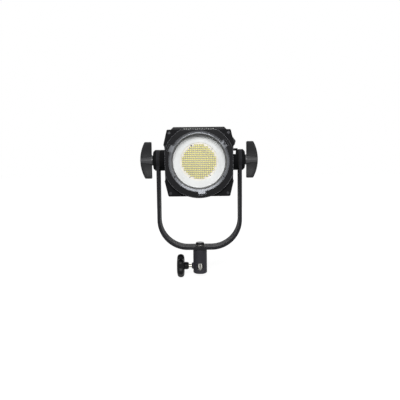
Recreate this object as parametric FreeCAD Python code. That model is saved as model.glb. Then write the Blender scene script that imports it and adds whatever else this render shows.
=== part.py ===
# Lamp head with a bayonet accessory mount, hung in a flat-bar yoke on a stand socket.
# Row frame: origin at the mouth of the stand socket, +Z up the socket, the lamp faces -Y.
import FreeCAD, Part
import math
import os

V = FreeCAD.Vector
X_AXIS = V(1, 0, 0)
Y_AXIS = V(0, 1, 0)
Z_AXIS = V(0, 0, 1)
SIDES = (("left", -1), ("right", 1))

# General clearances and walls, mm
PLAY = 0.3
RUNNING = 0.06
WALL = 2.6

# Stand socket, for a 16 mm spigot
SOCKET_R = 16.0
SOCKET_H = 58.0
SPIGOT_BORE_R = 8.1
LINER_R = 11.0
LINER_L = 45.0
LINER_SLOT = 2.8
SOCKET_CHAMFER = 1.6
WINDOW_R = 8.5
CLAMP_Z = 16.6

# Clamp screw and star knob of the socket
CLAMP_SCREW_R = 4.0
CLAMP_BOSS_R = 6.4
CLAMP_BOSS_L = 3.5
CLAMP_TIP_GAP = 0.3
KNOB_HUB_R = 8.7
KNOB_HUB_L = 10.3
KNOB_HUB_X = 26.4
KNOB_R = 27.5
KNOB_T = 16.8
KNOB_LOBES = 6

# Yoke, bent from flat bar
BAR_T = 6.5
BAR_W = 40.0
YOKE_GAP = 26.2
YOKE_BEND_R = 69.0
PIVOT_Z = 262.5
ARM_EYE_R = 23.75
BOLT_R = 5.0
BOLT_FLATS = 17.0
BOLT_HEAD_H = 6.0
WASHER_R = 10.0
WASHER_T = 1.6

# Tilt pivot and T handles
STUD_R = 5.0
CAP_L = 7.5
CAP_CHAMFER = 4.0
FRICTION_T = 1.4
HANDLE_HALF = 41.5
HANDLE_CREST = 26.3
HANDLE_TIP = 15.5
HANDLE_WING_T = 15.0
SIDE_PLATE_HALF = 25.0
HANDLE_STEM_R = 11.7
HANDLE_STEM_END_R = 7.6
HANDLE_NECK = 4.0
EYE_FLANGE = 2.9
EYE_LOW = 12.4
EYE_HIGH = 20.4
EYE_TOP = 25.6
EYE_DEPTH = 12.0

# Lamp head: its axis runs a little below the tilt pivot
AXIS_DROP = 3.3
FRONT_Y = -110.0

# Bayonet mount
RING_R = 74.4
RING_T = 10.0
LIP_T = 3.5
RING_BAND = 13.1
LUG_REACH = 5.9
POCKET_EXTRA = 1.0
TRIM = 0.5
TRIM_WALL = 1.6
POCKET_W = 14.6
POCKET_ANGLES = (34.7, 154.7, 274.7)
STOP_TURN = -38.0
STOP_SET = 1.2
PLATE_T = 1.5
PLATE_LEDGE = 3.9
NOTCH_ANGLES = (212.0, 329.0)
NOTCH_W = 2.8
LOCK_PIN_R = 2.9
PIN_SHANK_R = 1.8
LOCK_PIN_OUT = 3.7
RELEASE_TRAVEL = 5.0
LEVER_T = 4.0
LEVER_W = 8.0
THUMB_PROUD = 4.6
THUMB_H = 16.0
THUMB_T = 8.0

# Light engine
TUBE_L = 22.5
TUBE_WALL = 1.8
TUBE_TAPER = 1.8
DISC_T = 1.5
DISC_MARGIN = 3.9
BOARD_MARGIN = 6.0
BOARD_T = 2.4
CHIP_PITCH = 4.25
CHIP_SIZE = 3.6
CHIP_BASE = 0.4
CHIP_H = 0.5
CHIP_ROWS = 17
SPREADER_T = 7.0
POST_INSET = 6.0
SINK_L = 78.0
SINK_X = 50.0
SINK_Z = 46.0
SINK_BASE = 5.0
FIN_T = 1.5
FIN_COUNT = 15
PIPE_R = 3.0
PIPE_Z = (-30.0, -10.0, 10.0, 30.0)
FAN_HALF = 46.0
FAN_T = 25.4
FAN_BORE_R = 43.0
FAN_HUB_R = 17.0
FAN_BLADES = 7

# Bezel and housing outline, half widths and heights from the lamp axis
TOP_UNDER_RING = 9.8
BOTTOM_UNDER_RING = 3.0
TOP_IN = 10.0
UPPER_IN = 2.6
EAR_OUT = 2.0
LOWER_EAR_OUT = 1.2
BOTTOM_IN = 10.8
UPPER_DROP = 30.6
LOWER_RISE = 31.4
EAR = 4.0
CORNER_R = 3.0
BEZEL_T = 14.0
PAD_SET = 2.0
BODY_INSET = 1.2
BACK_Y = 136.0
ROOF_RISE = 6.6
ROOF_IN = 6.9
ROOF_SLOPE = 5.0
ROOF_L = 150.0
ROOF_WALL = 2.2
ROOF_SLOTS = 14
ROOF_PITCH = 4.6
ROOF_SLOT_W = 2.4
TOP_SLOTS = 12
TOP_PITCH = 9.0
TOP_SLOT_W = 3.6
TOP_SLOT_L = 70.0
VENT_COUNT = 5
VENT_W = 4.0
VENT_PITCH = 8.0
VENT_LOW = -30.0
VENT_HIGH = 24.0
VENT_FRONT_Y = -64.0
VENT_REAR_Y = 46.0
SCREW_IN = 4.6
SCREW_DOWN = 6.6
SCREW_HEAD_R = 2.7
SCREW_HEAD_H = 1.8
SCREW_R = 1.5
SCREW_L = 18.0
REAR_SCREW_L = 12.0
BOSS_R = 4.4
BOSS_L = 12.0
EXHAUST_IN = 6.5
EXHAUST_FRONT = 12.0
EXHAUST_L = 116.0

# Rear panel
PANEL_T = 5.0
PANEL_BEVEL = 3.0
SCREEN_W = 52.0
SCREEN_H = 32.0
SCREEN_Z = 30.0
SCREEN_T = 1.6
DIAL_R = 11.0
DIAL_L = 12.0
DIAL_X = 33.0
DIAL_Z = -14.0
DIAL_SHAFT_R = 3.0
BUTTON_R = 3.6
BUTTON_PITCH = 13.0
BUTTON_Z = 4.0
BUTTON_PROUD = 1.7
SWITCH_W = 14.0
SWITCH_H = 20.0
SWITCH_T = 3.6
TRUNNION_R = 1.2
TRUNNION_L = 1.6
INLET_R = 11.0
INLET_PROUD = 5.0
PORT_W = 15.0
PORT_H = 12.0
PORT_Z = -43.0
PORT_X = 40.0
PORT_DEPTH = 8.0
PORT_WALL = 1.4
STANDOFF_L = 14.0
DRIVER_T = 1.6
DRIVER_HALF_X = 48.0
DRIVER_HALF_Z = 37.0

WELL_R = RING_R - RING_BAND
CHANNEL_R = WELL_R + LUG_REACH
POCKET_R = CHANNEL_R + POCKET_EXTRA
PLATE_R = CHANNEL_R - PLAY
PLATE_BORE_R = WELL_R - PLATE_LEDGE
LOCK_PIN_PITCH_R = WELL_R + LOCK_PIN_OUT
TOP_Z = RING_R - TOP_UNDER_RING
BOTTOM_Z = BOTTOM_UNDER_RING - RING_R
TOP_HALF = RING_R - TOP_IN
UPPER_HALF = RING_R - UPPER_IN
UPPER_Z = TOP_Z - UPPER_DROP
FLANK_HALF = UPPER_HALF - EAR_OUT
LOWER_HALF = FLANK_HALF + LOWER_EAR_OUT
LOWER_Z = BOTTOM_Z + LOWER_RISE
BOTTOM_HALF = RING_R - BOTTOM_IN
RING_TOP = TOP_Z - TRIM
RING_SIDE = FLANK_HALF - TRIM
CHANNEL_TOP = RING_TOP - TRIM_WALL
SCREW_TOP = (TOP_HALF - SCREW_IN, TOP_Z - SCREW_DOWN)
SCREW_LOW = (BOTTOM_HALF - SCREW_IN, BOTTOM_Z + SCREW_DOWN)
ROOF_HALF = TOP_HALF - ROOF_IN
ROOF_TOP_HALF = ROOF_HALF - ROOF_SLOPE
YOKE_HALF = FLANK_HALF + YOKE_GAP
DISC_R = PLATE_BORE_R - TUBE_TAPER
ARRAY_R = CHIP_ROWS * CHIP_PITCH / 2
DISC_BORE_R = ARRAY_R + DISC_MARGIN
BOARD_R = DISC_BORE_R + BOARD_MARGIN
SPREADER_X = TOP_HALF - BOSS_R
SPREADER_Z = TOP_Z - 3 * BOSS_R
PLATE_Y = FRONT_Y + RING_T
BEZEL_Y = PLATE_Y
HOUSING_Y = BEZEL_Y + BEZEL_T
TUBE_Y = BEZEL_Y + PLATE_T
DISC_Y = TUBE_Y + TUBE_L
BOARD_Y = DISC_Y + DISC_T
SPREADER_Y = BOARD_Y + BOARD_T
SINK_Y = SPREADER_Y + SPREADER_T
FAN_Y = SINK_Y + SINK_L
PANEL_Y = BACK_Y
PANEL_FACE = BACK_Y + PANEL_T
ARM_IN = YOKE_HALF - BAR_T
BAR_Z = SOCKET_H
YOKE_Z = BAR_Z + BAR_T
AXIS_Z = PIVOT_Z - AXIS_DROP
HUB_X = FLANK_HALF - BODY_INSET
HUB_END = ARM_IN - FRICTION_T - 0.1
EYE_REACH = HUB_END - HUB_X - EYE_FLANGE
SIDE_PLATE_T = 3.0
SIDE_PLATE_X = HUB_X - WALL - SIDE_PLATE_T
HANDLE_IN = YOKE_HALF + CAP_L + PLAY + HANDLE_NECK


def cylinder(radius, length, base, axis):
    return Part.makeCylinder(radius, length, base, axis)


def block(x0, x1, y0, y1, z0, z1):
    return Part.makeBox(x1 - x0, y1 - y0, z1 - z0, V(x0, y0, z0))


def prism(points, sweep):
    return Part.Face(Part.makePolygon(list(points) + [points[0]])).extrude(sweep)


def drill(shape, radius, length, base, axis):
    return shape.cut(cylinder(radius, length, base, axis))


def ring(outer, inner, length, base, axis):
    return drill(cylinder(outer, length, base, axis), inner, length, base, axis)


def mirrored(shape, side):
    """The same shape on the left side for side -1."""
    return shape if side > 0 else shape.mirror(V(0, 0, 0), X_AXIS)


def in_head(shape):
    """Lifts a shape from the lamp axis to its height in the row frame."""
    placed = shape.copy()
    placed.translate(V(0, 0, AXIS_Z))
    return placed


def save(name, shape):
    shape.exportStep(os.path.join("parts", name + ".step"))


# Stand socket and its clamp


def stand_receiver():
    body = cylinder(SOCKET_R, SOCKET_H, V(0, 0, 0), Z_AXIS)
    rim = [e for e in body.Edges if e.BoundBox.ZMax < 0.01]
    body = body.makeChamfer(SOCKET_CHAMFER, rim)
    reach = SOCKET_R + CLAMP_BOSS_L
    root = V(2 - SOCKET_R, 0, CLAMP_Z)
    boss = Part.makeCone(CLAMP_BOSS_R + 2.2, CLAMP_BOSS_R, CLAMP_BOSS_L + 2, root, -X_AXIS)
    body = body.fuse(boss)
    body = drill(body, LINER_R + RUNNING, LINER_L + PLAY, V(0, 0, 0), Z_AXIS)
    body = drill(body, BOLT_R + RUNNING, SOCKET_H, V(0, 0, 0), Z_AXIS)
    body = drill(body, CLAMP_SCREW_R + RUNNING, reach + 1, V(0, 0, CLAMP_Z), -X_AXIS)
    body = drill(body, WINDOW_R, SOCKET_R + 1, V(0, 0, CLAMP_Z), -Y_AXIS)
    return body.removeSplitter()


def receiver_liner():
    """Steel sleeve that the spigot slides in, split at the front so that the clamp can grip."""
    liner = ring(LINER_R, SPIGOT_BORE_R, LINER_L, V(0, 0, 0), Z_AXIS)
    half = LINER_SLOT / 2
    liner = liner.cut(block(-half, half, -LINER_R - 1, 0, 4.0, LINER_L - 6.0))
    return drill(liner, CLAMP_SCREW_R + RUNNING, LINER_R + 1, V(0, 0, CLAMP_Z), -X_AXIS)


def yoke_bolt():
    """Domed hexagon bolt down through the washer and the bar into the socket."""
    seat = YOKE_Z + WASHER_T
    corner = BOLT_FLATS / 2 / math.cos(math.pi / 6)
    angles = [math.radians(a) for a in range(0, 360, 60)]
    hexagon = [V(corner * math.cos(a), corner * math.sin(a), seat) for a in angles]
    head = prism(hexagon, V(0, 0, BOLT_HEAD_H))
    bevel = V(0, 0, seat + BOLT_HEAD_H * 0.7)
    crown = Part.makeCone(corner, corner * 0.8, BOLT_HEAD_H * 0.3, bevel, Z_AXIS)
    skirt = cylinder(corner, BOLT_HEAD_H * 0.7, V(0, 0, seat), Z_AXIS)
    head = head.common(skirt.fuse(crown))
    shank = cylinder(BOLT_R, WASHER_T + BAR_T + SOCKET_H - LINER_L - 1.5, V(0, 0, seat), -Z_AXIS)
    return head.fuse(shank).removeSplitter()


def yoke_washer():
    return ring(WASHER_R, BOLT_R + RUNNING, WASHER_T, V(0, 0, YOKE_Z), Z_AXIS)


def clamp_screw():
    start = SPIGOT_BORE_R + CLAMP_TIP_GAP
    end = KNOB_HUB_X + KNOB_HUB_L + KNOB_T * 0.5
    screw = cylinder(CLAMP_SCREW_R, end - start, V(-start, 0, CLAMP_Z), -X_AXIS)
    tip = [e for e in screw.Edges if e.BoundBox.XMin > -start - 0.01]
    return screw.makeChamfer(0.8, tip)


def star_knob():
    """Knob with a rounded, scalloped rim and a tapered hub."""
    inner = KNOB_HUB_X + KNOB_HUB_L
    outer = inner + KNOB_T
    middle = (inner + outer) / 2
    core = CLAMP_SCREW_R + RUNNING
    face = KNOB_R * 0.35
    edges = [
        Part.LineSegment(V(-inner, 0, core), V(-inner, 0, KNOB_R - 8)),
        Part.Arc(V(-inner, 0, KNOB_R - 8), V(-middle, 0, KNOB_R), V(-outer, 0, KNOB_R - 8)),
        Part.LineSegment(V(-outer, 0, KNOB_R - 8), V(1.4 - outer, 0, face)),
        Part.LineSegment(V(1.4 - outer, 0, face), V(1.4 - outer, 0, core)),
        Part.LineSegment(V(1.4 - outer, 0, core), V(-inner, 0, core)),
    ]
    section = Part.Face(Part.Wire([e.toShape() for e in edges]))
    knob = section.revolve(V(0, 0, 0), X_AXIS, 360)
    plug = cylinder(face - 1.0, KNOB_T * 0.35, V(1.4 - outer, 0, 0), X_AXIS)
    knob = knob.fuse(plug)
    scallop = KNOB_R * 0.36
    for i in range(KNOB_LOBES):
        a = 2 * math.pi * i / KNOB_LOBES
        reach = KNOB_R + scallop * 0.45
        centre = V(1 - inner, reach * math.cos(a), reach * math.sin(a))
        knob = drill(knob, scallop, KNOB_T + 2, centre, -X_AXIS)
    start = V(-KNOB_HUB_X, 0, 0)
    hub = Part.makeCone(KNOB_HUB_R - 2.0, KNOB_HUB_R, 3.4, start, -X_AXIS)
    hub = hub.fuse(cylinder(KNOB_HUB_R, KNOB_HUB_L - 3.4, V(-KNOB_HUB_X - 3.4, 0, 0), -X_AXIS))
    hub = drill(hub, core, KNOB_HUB_L, start, -X_AXIS)
    knob = knob.fuse(hub).removeSplitter()
    knob.translate(V(0, 0, CLAMP_Z))
    return knob


# Yoke


def bent_path(half, low, bend):
    """Wire edges of a U: down one arm, round two bends and up the other arm."""
    k = bend * (1 - math.sqrt(0.5))
    return [
        Part.LineSegment(V(-half, 0, PIVOT_Z), V(-half, 0, low + bend)),
        Part.Arc(V(-half, 0, low + bend), V(k - half, 0, low + k), V(bend - half, 0, low)),
        Part.LineSegment(V(bend - half, 0, low), V(half - bend, 0, low)),
        Part.Arc(V(half - bend, 0, low), V(half - k, 0, low + k), V(half, 0, low + bend)),
        Part.LineSegment(V(half, 0, low + bend), V(half, 0, PIVOT_Z)),
    ]


def yoke_bracket():
    """Flat bar bent to a U, its ends rounded to eyes round the tilt pivot."""
    lines = bent_path(YOKE_HALF, BAR_Z, YOKE_BEND_R) + bent_path(ARM_IN, YOKE_Z, YOKE_BEND_R - BAR_T)
    for side in (-1, 1):
        lines.append(Part.LineSegment(V(side * YOKE_HALF, 0, PIVOT_Z), V(side * ARM_IN, 0, PIVOT_Z)))
    edges = Part.__sortEdges__([line.toShape() for line in lines])
    bar = Part.Face(Part.Wire(edges)).extrude(V(0, BAR_W, 0))
    bar.translate(V(0, -BAR_W / 2, 0))
    for side in (-1, 1):
        inner = V(side * ARM_IN, 0, PIVOT_Z)
        bar = bar.fuse(cylinder(ARM_EYE_R, BAR_T, inner, X_AXIS * side))
        bar = drill(bar, STUD_R + RUNNING, BAR_T, inner, X_AXIS * side)
    bar = drill(bar, BOLT_R + RUNNING, BAR_T, V(0, 0, BAR_Z), Z_AXIS)
    return bar.removeSplitter()


def arm_cap(side):
    """Round thrust boss on the outside of an arm, bevelled towards the handle."""
    straight = CAP_L - CAP_CHAMFER
    cap = cylinder(ARM_EYE_R, straight, V(YOKE_HALF, 0, 0), X_AXIS)
    edge = V(YOKE_HALF + straight, 0, 0)
    bevel = Part.makeCone(ARM_EYE_R, ARM_EYE_R - CAP_CHAMFER, CAP_CHAMFER, edge, X_AXIS)
    cap = drill(cap.fuse(bevel), STUD_R + RUNNING, CAP_L, V(YOKE_HALF, 0, 0), X_AXIS)
    cap = mirrored(cap, side)
    cap.translate(V(0, 0, PIVOT_Z))
    return cap


# Tilt pivot


def t_handle(side):
    """T handle: a bowed grip with scooped wings on a tapering stem."""
    crest = HANDLE_IN + HANDLE_CREST
    tip = HANDLE_IN + HANDLE_TIP
    half = HANDLE_HALF
    back = HANDLE_WING_T / 2
    low, high = V(HANDLE_IN, -back, -half), V(HANDLE_IN, -back, half)
    low_tip, high_tip = V(tip, -back, -half), V(tip, -back, half)
    outline = [
        Part.LineSegment(low, high),
        Part.LineSegment(high, high_tip),
        Part.Arc(high_tip, V(crest, -back, 0), low_tip),
        Part.LineSegment(low_tip, low),
    ]
    grip = Part.Face(Part.Wire([e.toShape() for e in outline])).extrude(V(0, HANDLE_WING_T, 0))
    bowed = [e for e in grip.Edges if e.Length > half * 2 + 2]
    grip = grip.makeFillet(3.0, bowed)
    scoop = 60.0
    for z in (-1, 1):
        for y in (-1, 1):
            centre = V(HANDLE_IN - 1, y * (scoop + HANDLE_WING_T * 0.29), z * half * 0.58)
            grip = drill(grip, scoop, HANDLE_CREST + 2, centre, X_AXIS)
    start = HANDLE_IN - HANDLE_NECK
    taper = HANDLE_CREST - 2.2
    neck = cylinder(HANDLE_STEM_R, HANDLE_NECK, V(start, 0, 0), X_AXIS)
    stem = Part.makeCone(HANDLE_STEM_R, HANDLE_STEM_END_R, taper, V(HANDLE_IN, 0, 0), X_AXIS)
    handle = grip.fuse([neck, stem]).removeSplitter()
    handle = drill(handle, STUD_R + RUNNING, HANDLE_NECK + 13.0, V(start, 0, 0), X_AXIS)
    handle = mirrored(handle, side)
    handle.translate(V(0, 0, PIVOT_Z))
    return handle


def tilt_stud(side):
    """Stud from the head's side plate through hub and yoke arm into the handle."""
    nut = cylinder(STUD_R * 1.8, 4.0, V(SIDE_PLATE_X - 4.0, 0, 0), X_AXIS)
    stud = cylinder(STUD_R, HANDLE_IN + 10.0 - SIDE_PLATE_X, V(SIDE_PLATE_X, 0, 0), X_AXIS)
    stud = mirrored(stud.fuse(nut).removeSplitter(), side)
    stud.translate(V(0, 0, PIVOT_Z))
    return stud


def side_plate(side):
    """Steel plate inside the housing wall that spreads the load of the pivot."""
    half = SIDE_PLATE_HALF
    low, high = AXIS_DROP - half, AXIS_DROP + half
    plate = block(SIDE_PLATE_X, SIDE_PLATE_X + SIDE_PLATE_T, -half, half, low, high)
    plate = drill(plate, STUD_R + RUNNING, SIDE_PLATE_T, V(SIDE_PLATE_X, 0, AXIS_DROP), X_AXIS)
    return in_head(mirrored(plate, side))


def tilt_hub(side, with_eye):
    """Round boss on the flank; one side carries an arch for a safety cable."""
    hub = cylinder(ARM_EYE_R, HUB_END - HUB_X, V(HUB_X, 0, 0), X_AXIS)
    if with_eye:
        neck = HUB_X + EYE_REACH
        hub = hub.cut(block(HUB_X, neck, -ARM_EYE_R, ARM_EYE_R, EYE_LOW, ARM_EYE_R + 1))
        half = EYE_DEPTH / 2
        hub = hub.fuse(block(HUB_X, neck + EYE_FLANGE - 0.5, -half, half, EYE_HIGH, EYE_TOP))
    hub = drill(hub, STUD_R + RUNNING, HUB_END - HUB_X, V(HUB_X, 0, 0), X_AXIS)
    hub = mirrored(hub.removeSplitter(), side)
    hub.translate(V(0, 0, PIVOT_Z))
    return hub


def friction_ring(side):
    washer = ring(ARM_EYE_R - 0.8, STUD_R + RUNNING, FRICTION_T, V(HUB_END, 0, 0), X_AXIS)
    washer = mirrored(washer, side)
    washer.translate(V(0, 0, PIVOT_Z))
    return washer


# Housing outline


def outline(inset, y, ears):
    """Section of the head at depth y, drawn in by inset on every side."""
    flank = FLANK_HALF - inset
    upper = UPPER_HALF - inset if ears else flank
    lower = LOWER_HALF - inset if ears else flank
    right = [(TOP_HALF - inset, TOP_Z - inset), (upper, UPPER_Z)]
    if ears:
        right += [(flank, UPPER_Z - EAR), (flank, LOWER_Z + EAR)]
    right += [(lower, LOWER_Z), (BOTTOM_HALF - inset, BOTTOM_Z + inset)]
    return [V(x, y, z) for x, z in right + [(-x, z) for x, z in reversed(right)]]


def slab(inset, y0, y1, ears=False):
    solid = prism(outline(inset, y0, ears), V(0, y1 - y0, 0))
    corners = []
    for e in solid.Edges:
        z = e.CenterOfMass.z
        along = e.BoundBox.YLength > (y1 - y0) * 0.9
        if along and not LOWER_Z - 5 < z < UPPER_Z + 5:
            corners.append(e)
    return solid.makeFillet(CORNER_R, corners)


def bezel_screw_spots():
    spots = []
    for side in (-1, 1):
        spots.append((side * SCREW_TOP[0], SCREW_TOP[1], BEZEL_Y - RING_T + PAD_SET))
        spots.append((side * SCREW_LOW[0], SCREW_LOW[1], BEZEL_Y))
    return spots


# Bayonet mount


def sector_block(angle, y0, y1, radius, width):
    shape = block(0, radius, y0, y1, -width / 2, width / 2)
    shape = shape.common(cylinder(radius, y1 - y0, V(0, y0, 0), Y_AXIS))
    shape.rotate(V(0, 0, 0), Y_AXIS, -angle)
    return shape


def mount_ring():
    """Front lip with three lug pockets over a channel where the lugs turn up to a stop."""
    body = cylinder(RING_R, RING_T, V(0, FRONT_Y, 0), Y_AXIS)
    body = body.makeChamfer(1.0, [e for e in body.Edges if e.BoundBox.YMax < FRONT_Y + 0.01])
    body = body.common(block(-RING_SIDE, RING_SIDE, FRONT_Y, BEZEL_Y, -RING_R, RING_TOP))
    body = drill(body, WELL_R, RING_T, V(0, FRONT_Y, 0), Y_AXIS)
    channel = cylinder(CHANNEL_R, RING_T - LIP_T, V(0, FRONT_Y + LIP_T, 0), Y_AXIS)
    channel = channel.common(block(-RING_R, RING_R, FRONT_Y, BEZEL_Y, -RING_R, CHANNEL_TOP))
    for angle in POCKET_ANGLES:
        stop = sector_block(angle + STOP_TURN, FRONT_Y, BEZEL_Y, RING_R, 5.0)
        stop = drill(stop, WELL_R + STOP_SET, RING_T, V(0, FRONT_Y, 0), Y_AXIS)
        channel = channel.cut(stop)
    body = body.cut(channel)
    for angle in POCKET_ANGLES:
        body = body.cut(sector_block(angle, FRONT_Y, BEZEL_Y, POCKET_R, POCKET_W))
    return in_head(body.removeSplitter())


def lock_pin_place():
    a = math.radians(POCKET_ANGLES[0])
    return LOCK_PIN_PITCH_R * math.cos(a), LOCK_PIN_PITCH_R * math.sin(a)


def bayonet_plate():
    """Bright plate at the bottom of the mount."""
    plate = ring(PLATE_R, PLATE_BORE_R, PLATE_T, V(0, PLATE_Y, 0), Y_AXIS)
    for angle in NOTCH_ANGLES:
        plate = plate.cut(sector_block(angle, PLATE_Y, TUBE_Y, WELL_R - 1.0, NOTCH_W))
    plate = plate.common(block(-RING_R, RING_R, PLATE_Y, TUBE_Y, -RING_R, CHANNEL_TOP))
    x, z = lock_pin_place()
    plate = drill(plate, LOCK_PIN_R + RUNNING, PLATE_T, V(x, PLATE_Y, z), Y_AXIS)
    return in_head(plate.removeSplitter())


def lever_bar(play, travel=0.0):
    """The lever's bar behind the plate, grown by play and by its travel."""
    x, z = lock_pin_place()
    y0 = TUBE_Y + 1.2
    half = LEVER_W / 2 + play
    reach = UPPER_HALF + (6.0 if play else 1.0)
    return block(x - 3.4 - play, reach, y0 - play, y0 + LEVER_T + play + travel, z - half, z + half)


def lock_pin():
    """Pin with a thinner shank behind, held in the lever."""
    x, z = lock_pin_place()
    front = FRONT_Y + LIP_T
    lever_y = TUBE_Y + 1.2
    pin = cylinder(LOCK_PIN_R, lever_y - front, V(x, front, z), Y_AXIS)
    pin = pin.makeChamfer(0.8, [e for e in pin.Edges if e.BoundBox.YMax < front + 0.01])
    pin = pin.fuse(cylinder(PIN_SHANK_R, LEVER_T, V(x, lever_y, z), Y_AXIS))
    return in_head(pin.removeSplitter())


def release_lever():
    """Slide that draws the lock pin back, with a wedge for the thumb outside the bezel."""
    x, z = lock_pin_place()
    y0 = TUBE_Y + 1.2
    slope = (UPPER_HALF - TOP_HALF) / (TOP_Z - UPPER_Z)

    def flank_x(height):
        return TOP_HALF + (TOP_Z - height) * slope + 0.5

    high, low = z + THUMB_H * 0.85, z + 1.0 - LEVER_W / 2
    wedge = [
        (flank_x(high), high),
        (flank_x(z + 5.5) + THUMB_PROUD, z + 5.5),
        (flank_x(z + 3.0) + THUMB_PROUD - 0.3, z + 3.0),
        (flank_x(low) + 1.2, low),
        (flank_x(low), low),
    ]
    thumb = prism([V(px, y0, pz) for px, pz in wedge], V(0, THUMB_T, 0))
    lever = lever_bar(0.0).fuse(thumb)
    lever = drill(lever, PIN_SHANK_R + RUNNING, LEVER_T, V(x, y0, z), Y_AXIS)
    return in_head(lever.removeSplitter())


def front_bezel():
    """Cast front frame: raised pads in the upper corners, bosses for shells and spreader."""
    body = slab(0.0, BEZEL_Y, HOUSING_Y, ears=True)
    pad_front = FRONT_Y + PAD_SET
    pads = slab(0.0, pad_front, BEZEL_Y, ears=True)
    pads = pads.cut(block(-RING_R, RING_R, pad_front, BEZEL_Y, BOTTOM_Z, UPPER_Z - 10))
    pads = drill(pads, RING_R + PLAY, RING_T, V(0, pad_front, 0), Y_AXIS)
    pads = pads.cut(block(-TOP_HALF * 0.5, TOP_HALF * 0.5, pad_front, BEZEL_Y, 0, TOP_Z))
    body = body.fuse(pads)
    for x, z in spreader_posts():
        post = cylinder(BOSS_R, SPREADER_Y - HOUSING_Y, V(x, HOUSING_Y, z), Y_AXIS)
        body = body.fuse(post)
    body = drill(body, PLATE_BORE_R + TUBE_WALL, BEZEL_T, V(0, BEZEL_Y, 0), Y_AXIS)
    body = drill(body, PLATE_R + PLAY, PLATE_T, V(0, PLATE_Y, 0), Y_AXIS)
    body = body.cut(lever_bar(PLAY, RELEASE_TRAVEL))
    x, z = lock_pin_place()
    body = drill(body, LOCK_PIN_R + RUNNING, BEZEL_T * 0.5, V(x, PLATE_Y, z), Y_AXIS)
    for x, z, y in bezel_screw_spots():
        body = drill(body, SCREW_HEAD_R + RUNNING, SCREW_HEAD_H, V(x, y, z), Y_AXIS)
        body = drill(body, SCREW_R + RUNNING, HOUSING_Y - y, V(x, y, z), Y_AXIS)
    return in_head(body.removeSplitter())


def small_screw(x, z, y, length, facing):
    """Cross-recessed screw whose head faces along facing."""
    axis = V(0, facing, 0)
    base = V(x, y, z)
    screw = cylinder(SCREW_HEAD_R, SCREW_HEAD_H, base, axis * -1)
    screw = screw.fuse(cylinder(SCREW_R, length, base, axis * -1))
    reach, half = SCREW_HEAD_R * 0.62, 0.45
    y0, y1 = sorted((y, y - facing * SCREW_HEAD_H * 0.6))
    screw = screw.cut(block(x - reach, x + reach, y0, y1, z - half, z + half))
    screw = screw.cut(block(x - half, x + half, y0, y1, z - reach, z + reach))
    return in_head(screw.removeSplitter())


# Light engine


def well_tube():
    """Dark tube from the plate back to the disc, tapering slightly inwards."""
    outer = cylinder(PLATE_BORE_R + TUBE_WALL - PLAY, TUBE_L, V(0, TUBE_Y, 0), Y_AXIS)
    inner = Part.makeCone(PLATE_BORE_R, DISC_R - 0.6, TUBE_L, V(0, TUBE_Y, 0), Y_AXIS)
    return in_head(outer.cut(inner))


def baffle_disc():
    return in_head(ring(DISC_R, DISC_BORE_R, DISC_T, V(0, DISC_Y, 0), Y_AXIS))


def led_board():
    return in_head(cylinder(BOARD_R, BOARD_T, V(0, BOARD_Y, 0), Y_AXIS))


def led_array():
    """Light-emitting chips in rows inside a stepped circle, on one substrate."""
    middle = (CHIP_ROWS - 1) / 2
    limit = (middle + 0.35) * CHIP_PITCH
    chips = None
    for row in range(CHIP_ROWS):
        z = (row - middle) * CHIP_PITCH
        count = 0
        while math.hypot((count + 1) * CHIP_PITCH, z) <= limit:
            count += 1
        half = (count + 0.5) * CHIP_PITCH
        top = BOARD_Y - CHIP_BASE
        strip = block(-half, half, top, BOARD_Y, z - CHIP_PITCH / 2, z + CHIP_PITCH / 2)
        ridge = block(
            CHIP_SIZE / 2 - half, half - CHIP_SIZE / 2, top - CHIP_H, top, z - CHIP_SIZE / 2, z + CHIP_SIZE / 2
        )
        strip = strip.fuse(ridge)
        chips = strip if chips is None else chips.fuse(strip)
    return in_head(chips.removeSplitter())


def spreader_posts():
    x, z = SPREADER_X - POST_INSET, SPREADER_Z - POST_INSET
    return [(sx * x, sz * z) for sx in (-1, 1) for sz in (-1, 1)]


def heat_spreader():
    plate = block(-SPREADER_X, SPREADER_X, SPREADER_Y, SINK_Y, -SPREADER_Z, SPREADER_Z)
    return in_head(plate)


def heat_sink():
    """Base with a row of upright fins and grooves for the heat pipes."""
    sink = block(-SINK_X, SINK_X, SINK_Y, SINK_Y + SINK_BASE, -SINK_Z, SINK_Z)
    step = (2 * SINK_X - FIN_T) / (FIN_COUNT - 1)
    for i in range(FIN_COUNT):
        x = i * step - SINK_X
        sink = sink.fuse(block(x, x + FIN_T, SINK_Y, FAN_Y, -SINK_Z, SINK_Z))
    for z in PIPE_Z:
        sink = drill(sink, PIPE_R + RUNNING, 2 * SINK_X, V(-SINK_X, pipe_y(), z), X_AXIS)
    return in_head(sink.removeSplitter())


def pipe_y():
    return SINK_Y + SINK_L * 0.55


def heat_pipes():
    """Straight heat pipes across the fins."""
    pipes = [cylinder(PIPE_R, 2 * SINK_X + 6, V(-SINK_X - 3, pipe_y(), z), X_AXIS) for z in PIPE_Z]
    return [in_head(pipe) for pipe in pipes]


def fan_frame():
    """Square fan housing with a round duct, a motor seat and four arms."""
    half = FAN_HALF
    frame = block(-half, half, FAN_Y, FAN_Y + FAN_T, -half, half)
    upright = [e for e in frame.Edges if e.BoundBox.YLength > FAN_T * 0.9]
    frame = frame.makeFillet(4.0, upright)
    frame = drill(frame, FAN_BORE_R, FAN_T, V(0, FAN_Y, 0), Y_AXIS)
    seat_y = FAN_Y + FAN_T - 3.0
    seat = cylinder(FAN_HUB_R, 3.0, V(0, seat_y, 0), Y_AXIS)
    for angle in (45, 135, 225, 315):
        arm = block(0, FAN_BORE_R + 1, seat_y, seat_y + 3.0, -1.8, 1.8)
        arm.rotate(V(0, 0, 0), Y_AXIS, angle)
        seat = seat.fuse(arm)
    shaft = cylinder(2.0, 8.0, V(0, seat_y, 0), -Y_AXIS)
    return in_head(frame.fuse(seat).fuse(shaft).removeSplitter())


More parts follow.
